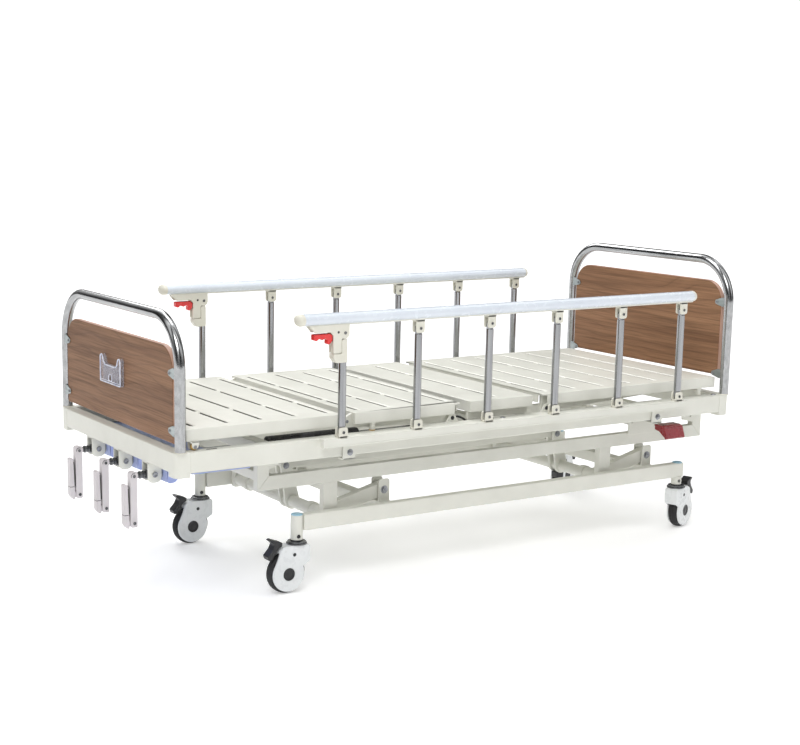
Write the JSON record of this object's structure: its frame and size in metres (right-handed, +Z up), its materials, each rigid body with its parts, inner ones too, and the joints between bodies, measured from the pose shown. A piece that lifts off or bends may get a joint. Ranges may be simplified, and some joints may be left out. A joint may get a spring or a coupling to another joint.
{
  "type": "adjustable hospital bed",
  "caption": "Crank-operated hospital bed with a raising base, tilting back and knee sections, folding side rails, wood-panel end boards and braked casters.",
  "frame": {"origin": "on the floor, under the middle of the outer box, in the low and flat position shown", "axes": "+X to the head end, +Y to the side away from the release pedal, +Z up"},
  "size_m": [2.196, 0.95, 0.962],
  "materials": {
    "cream_paint": "semi-gloss powder coat",
    "chrome_tube": "polished",
    "walnut_laminate": "matt laminate",
    "tyre_rubber": "matt",
    "caster_cover": "satin",
    "black_plastic": "satin",
    "black_metal": "gloss",
    "red_plastic": "gloss",
    "dark_red_plastic": "gloss",
    "crank_grey": "satin",
    "blue_plastic": "satin",
    "rail_coating": "satin coated",
    "clear_plastic": "clear acrylic",
    "ochre_nylon": "matt",
    "zinc_steel": "zinc plated",
    "cable_sheath": "matt"
  },
  "bodies": {
    "base": {"base_frame": "cream_paint"},
    "caster_foot_near": {"caster_housing_foot_near": "caster_cover"},
    "wheel_foot_near": {"caster_wheel_foot_near": "tyre_rubber"},
    "brake_pedal_foot_near": {"caster_brake_pedal_foot_near": "black_plastic"},
    "caster_foot_far": {"caster_housing_foot_far": "caster_cover"},
    "wheel_foot_far": {"caster_wheel_foot_far": "tyre_rubber"},
    "brake_pedal_foot_far": {"caster_brake_pedal_foot_far": "black_plastic"},
    "caster_head_near": {"caster_housing_head_near": "caster_cover"},
    "wheel_head_near": {"caster_wheel_head_near": "tyre_rubber"},
    "brake_pedal_head_near": {"caster_brake_pedal_head_near": "black_plastic"},
    "caster_head_far": {"caster_housing_head_far": "caster_cover"},
    "wheel_head_far": {"caster_wheel_head_far": "tyre_rubber"},
    "brake_pedal_head_far": {"caster_brake_pedal_head_far": "black_plastic"},
    "lift_arm_foot": {"lift_arm_foot": "cream_paint"},
    "lift_arm_head": {"lift_arm_head": "cream_paint"},
    "lift_link": {"lift_link_rod": "cream_paint"},
    "bed_frame": {"main_frame": "cream_paint", "lift_subframe": "cream_paint", "crank_tray": "blue_plastic", "headboard_tube": "chrome_tube", "headboard_panel": "walnut_laminate", "footboard_tube": "chrome_tube", "footboard_panel": "walnut_laminate", "chart_holder": "clear_plastic", "seat_section": "cream_paint", "side_rail_bottom_near": "cream_paint", "side_rail_bottom_far": "cream_paint", "lift_drive_tube": "zinc_steel", "knee_drive_tube": "zinc_steel", "back_drive_tube": "zinc_steel", "gas_spring": "black_metal", "cpr_cable": "cable_sheath"},
    "back": {"back_section": "cream_paint"},
    "thigh": {"thigh_section": "cream_paint"},
    "calf": {"calf_section": "cream_paint"},
    "calf_roller_near": {"calf_roller_near": "ochre_nylon"},
    "calf_roller_far": {"calf_roller_far": "ochre_nylon"},
    "post_1_near": {"side_rail_post_1_near": "chrome_tube"},
    "post_2_near": {"side_rail_post_2_near": "chrome_tube"},
    "post_3_near": {"side_rail_post_3_near": "chrome_tube"},
    "post_4_near": {"side_rail_post_4_near": "chrome_tube"},
    "post_5_near": {"side_rail_post_5_near": "chrome_tube"},
    "post_6_near": {"side_rail_post_6_near": "chrome_tube"},
    "side_rail_top_near": {"side_rail_top_near": "rail_coating"},
    "release_lever_near": {"release_lever_near": "red_plastic"},
    "post_1_far": {"side_rail_post_1_far": "chrome_tube"},
    "post_2_far": {"side_rail_post_2_far": "chrome_tube"},
    "post_3_far": {"side_rail_post_3_far": "chrome_tube"},
    "post_4_far": {"side_rail_post_4_far": "chrome_tube"},
    "post_5_far": {"side_rail_post_5_far": "chrome_tube"},
    "post_6_far": {"side_rail_post_6_far": "chrome_tube"},
    "side_rail_top_far": {"side_rail_top_far": "rail_coating"},
    "release_lever_far": {"release_lever_far": "red_plastic"},
    "crank_far": {"crank_arm_far": "crank_grey"},
    "crank_grip_far": {"crank_grip_far": "crank_grey"},
    "crank_middle": {"crank_arm_middle": "crank_grey"},
    "crank_grip_middle": {"crank_grip_middle": "crank_grey"},
    "crank_near": {"crank_arm_near": "crank_grey"},
    "crank_grip_near": {"crank_grip_near": "crank_grey"},
    "cpr_lever": {"cpr_lever": "dark_red_plastic"}
  },
  "joints": [
    {"name": "caster_swivel_foot_near", "type": "hinge", "parent": "base", "child": "caster_foot_near", "pos_m": [-0.584, -0.323, 0.15], "axis": [0, 0, 1], "continuous": true},
    {"name": "caster_roll_foot_near", "type": "hinge", "parent": "caster_foot_near", "child": "wheel_foot_near", "pos_m": [-0.622, -0.323, 0.0625], "axis": [0, 1, 0], "continuous": true},
    {"name": "caster_brake_foot_near", "type": "hinge", "parent": "caster_foot_near", "child": "brake_pedal_foot_near", "pos_m": [-0.65, -0.323, 0.15], "axis": [0, -1, 0], "range_deg": [0, 9]},
    {"name": "caster_swivel_foot_far", "type": "hinge", "parent": "base", "child": "caster_foot_far", "pos_m": [-0.584, 0.323, 0.15], "axis": [0, 0, 1], "continuous": true},
    {"name": "caster_roll_foot_far", "type": "hinge", "parent": "caster_foot_far", "child": "wheel_foot_far", "pos_m": [-0.622, 0.323, 0.0625], "axis": [0, 1, 0], "continuous": true},
    {"name": "caster_brake_foot_far", "type": "hinge", "parent": "caster_foot_far", "child": "brake_pedal_foot_far", "pos_m": [-0.65, 0.323, 0.15], "axis": [0, -1, 0], "range_deg": [0, 9]},
    {"name": "caster_swivel_head_near", "type": "hinge", "parent": "base", "child": "caster_head_near", "pos_m": [0.964, -0.323, 0.15], "axis": [0, 0, 1], "continuous": true},
    {"name": "caster_roll_head_near", "type": "hinge", "parent": "caster_head_near", "child": "wheel_head_near", "pos_m": [0.99971, -0.31, 0.0625], "axis": [0.342, -0.9397, 0], "continuous": true},
    {"name": "caster_brake_head_near", "type": "hinge", "parent": "caster_head_near", "child": "brake_pedal_head_near", "pos_m": [1.02602, -0.30043, 0.15], "axis": [-0.342, 0.9397, 0], "range_deg": [0, 9]},
    {"name": "caster_swivel_head_far", "type": "hinge", "parent": "base", "child": "caster_head_far", "pos_m": [0.964, 0.323, 0.15], "axis": [0, 0, 1], "continuous": true},
    {"name": "caster_roll_head_far", "type": "hinge", "parent": "caster_head_far", "child": "wheel_head_far", "pos_m": [0.99971, 0.336, 0.0625], "axis": [0.342, -0.9397, 0], "continuous": true},
    {"name": "caster_brake_head_far", "type": "hinge", "parent": "caster_head_far", "child": "brake_pedal_head_far", "pos_m": [1.02602, 0.34557, 0.15], "axis": [-0.342, 0.9397, 0], "range_deg": [0, 9]},
    {"name": "bed_lift", "type": "hinge", "parent": "base", "child": "lift_arm_foot", "pos_m": [-0.2406, 0, 0.266], "axis": [0, 1, 0], "range_deg": [0, 62]},
    {"name": "lift_arm_head_pivot", "type": "hinge", "parent": "base", "child": "lift_arm_head", "pos_m": [0.8594, 0, 0.266], "axis": [0, 1, 0], "range_deg": [0, 63]},
    {"name": "lift_link_pivot", "type": "hinge", "parent": "lift_arm_foot", "child": "lift_link", "pos_m": [-0.484, -0.06, 0.33], "axis": [0, 1, 0], "range_deg": [-63, 0]},
    {"name": "main_frame_level", "type": "hinge", "parent": "lift_arm_foot", "child": "bed_frame", "pos_m": [-0.459, 0, 0.212], "axis": [0, 1, 0], "range_deg": [-63, 0]},
    {"name": "back_lift", "type": "hinge", "parent": "bed_frame", "child": "back", "pos_m": [0.311, 0, 0.498], "axis": [0, -1, 0], "range_deg": [0, 75]},
    {"name": "knee_lift", "type": "hinge", "parent": "bed_frame", "child": "thigh", "pos_m": [-0.064, 0, 0.498], "axis": [0, 1, 0], "range_deg": [0, 35]},
    {"name": "calf_follow", "type": "hinge", "parent": "thigh", "child": "calf", "pos_m": [-0.449, 0, 0.52], "axis": [0, 1, 0], "range_deg": [-61, 0]},
    {"name": "calf_roller_spin_near", "type": "hinge", "parent": "calf", "child": "calf_roller_near", "pos_m": [-0.962, -0.393, 0.4955], "axis": [0, 1, 0], "continuous": true},
    {"name": "calf_roller_spin_far", "type": "hinge", "parent": "calf", "child": "calf_roller_far", "pos_m": [-0.962, 0.393, 0.4955], "axis": [0, 1, 0], "continuous": true},
    {"name": "side_rail_fold_near", "type": "hinge", "parent": "bed_frame", "child": "post_1_near", "pos_m": [-0.51, -0.452, 0.506], "axis": [0, -1, 0], "range_deg": [0, 76]},
    {"name": "post_pivot_2_near", "type": "hinge", "parent": "bed_frame", "child": "post_2_near", "pos_m": [-0.244, -0.452, 0.506], "axis": [0, -1, 0], "range_deg": [0, 77]},
    {"name": "post_pivot_3_near", "type": "hinge", "parent": "bed_frame", "child": "post_3_near", "pos_m": [0.022, -0.452, 0.506], "axis": [0, -1, 0], "range_deg": [0, 77]},
    {"name": "post_pivot_4_near", "type": "hinge", "parent": "bed_frame", "child": "post_4_near", "pos_m": [0.288, -0.452, 0.506], "axis": [0, -1, 0], "range_deg": [0, 77]},
    {"name": "post_pivot_5_near", "type": "hinge", "parent": "bed_frame", "child": "post_5_near", "pos_m": [0.554, -0.452, 0.506], "axis": [0, -1, 0], "range_deg": [0, 77]},
    {"name": "post_pivot_6_near", "type": "hinge", "parent": "bed_frame", "child": "post_6_near", "pos_m": [0.82, -0.452, 0.506], "axis": [0, -1, 0], "range_deg": [0, 77]},
    {"name": "side_rail_level_near", "type": "hinge", "parent": "post_1_near", "child": "side_rail_top_near", "pos_m": [-0.51, -0.452, 0.798], "axis": [0, -1, 0], "range_deg": [-77, 0]},
    {"name": "release_lever_near", "type": "hinge", "parent": "side_rail_top_near", "child": "release_lever_near", "pos_m": [-0.557, -0.452, 0.787], "axis": [0, 1, 0], "range_deg": [0, 12], "stiffness_Nm_per_rad": 0.6},
    {"name": "side_rail_fold_far", "type": "hinge", "parent": "bed_frame", "child": "post_1_far", "pos_m": [-0.51, 0.452, 0.506], "axis": [0, -1, 0], "range_deg": [0, 76]},
    {"name": "post_pivot_2_far", "type": "hinge", "parent": "bed_frame", "child": "post_2_far", "pos_m": [-0.244, 0.452, 0.506], "axis": [0, -1, 0], "range_deg": [0, 77]},
    {"name": "post_pivot_3_far", "type": "hinge", "parent": "bed_frame", "child": "post_3_far", "pos_m": [0.022, 0.452, 0.506], "axis": [0, -1, 0], "range_deg": [0, 77]},
    {"name": "post_pivot_4_far", "type": "hinge", "parent": "bed_frame", "child": "post_4_far", "pos_m": [0.288, 0.452, 0.506], "axis": [0, -1, 0], "range_deg": [0, 77]},
    {"name": "post_pivot_5_far", "type": "hinge", "parent": "bed_frame", "child": "post_5_far", "pos_m": [0.554, 0.452, 0.506], "axis": [0, -1, 0], "range_deg": [0, 77]},
    {"name": "post_pivot_6_far", "type": "hinge", "parent": "bed_frame", "child": "post_6_far", "pos_m": [0.82, 0.452, 0.506], "axis": [0, -1, 0], "range_deg": [0, 77]},
    {"name": "side_rail_level_far", "type": "hinge", "parent": "post_1_far", "child": "side_rail_top_far", "pos_m": [-0.51, 0.452, 0.798], "axis": [0, -1, 0], "range_deg": [-77, 0]},
    {"name": "release_lever_far", "type": "hinge", "parent": "side_rail_top_far", "child": "release_lever_far", "pos_m": [-0.557, 0.452, 0.787], "axis": [0, 1, 0], "range_deg": [0, 12], "stiffness_Nm_per_rad": 0.6},
    {"name": "crank_spin_far", "type": "hinge", "parent": "bed_frame", "child": "crank_far", "pos_m": [-1.067, 0.205, 0.385], "axis": [1, 0, 0], "continuous": true},
    {"name": "crank_grip_fold_far", "type": "hinge", "parent": "crank_far", "child": "crank_grip_far", "pos_m": [-1.067, 0.205, 0.245], "axis": [0, -1, 0], "range_deg": [0, 90]},
    {"name": "crank_spin_middle", "type": "hinge", "parent": "bed_frame", "child": "crank_middle", "pos_m": [-1.067, 0, 0.385], "axis": [1, 0, 0], "continuous": true},
    {"name": "crank_grip_fold_middle", "type": "hinge", "parent": "crank_middle", "child": "crank_grip_middle", "pos_m": [-1.067, 0, 0.245], "axis": [0, -1, 0], "range_deg": [0, 90]},
    {"name": "crank_spin_near", "type": "hinge", "parent": "bed_frame", "child": "crank_near", "pos_m": [-1.067, -0.205, 0.385], "axis": [1, 0, 0], "continuous": true},
    {"name": "crank_grip_fold_near", "type": "hinge", "parent": "crank_near", "child": "crank_grip_near", "pos_m": [-1.067, -0.205, 0.245], "axis": [0, -1, 0], "range_deg": [0, 90]},
    {"name": "cpr_release", "type": "hinge", "parent": "bed_frame", "child": "cpr_lever", "pos_m": [0.827, -0.39, 0.399], "axis": [1, 0, 0], "range_deg": [0, 20], "stiffness_Nm_per_rad": 1.5}
  ],
  "couplings": [
    {"joint": "lift_arm_head_pivot", "follows": "bed_lift", "ratio": 1},
    {"joint": "lift_link_pivot", "follows": "bed_lift", "ratio": -1},
    {"joint": "main_frame_level", "follows": "bed_lift", "ratio": -1},
    {"joint": "calf_follow", "follows": "knee_lift", "ratio": -1.715},
    {"joint": "post_pivot_2_near", "follows": "side_rail_fold_near", "ratio": 1},
    {"joint": "post_pivot_3_near", "follows": "side_rail_fold_near", "ratio": 1},
    {"joint": "post_pivot_4_near", "follows": "side_rail_fold_near", "ratio": 1},
    {"joint": "post_pivot_5_near", "follows": "side_rail_fold_near", "ratio": 1},
    {"joint": "post_pivot_6_near", "follows": "side_rail_fold_near", "ratio": 1},
    {"joint": "side_rail_level_near", "follows": "side_rail_fold_near", "ratio": -1},
    {"joint": "post_pivot_2_far", "follows": "side_rail_fold_far", "ratio": 1},
    {"joint": "post_pivot_3_far", "follows": "side_rail_fold_far", "ratio": 1},
    {"joint": "post_pivot_4_far", "follows": "side_rail_fold_far", "ratio": 1},
    {"joint": "post_pivot_5_far", "follows": "side_rail_fold_far", "ratio": 1},
    {"joint": "post_pivot_6_far", "follows": "side_rail_fold_far", "ratio": 1},
    {"joint": "side_rail_level_far", "follows": "side_rail_fold_far", "ratio": -1}
  ]
}
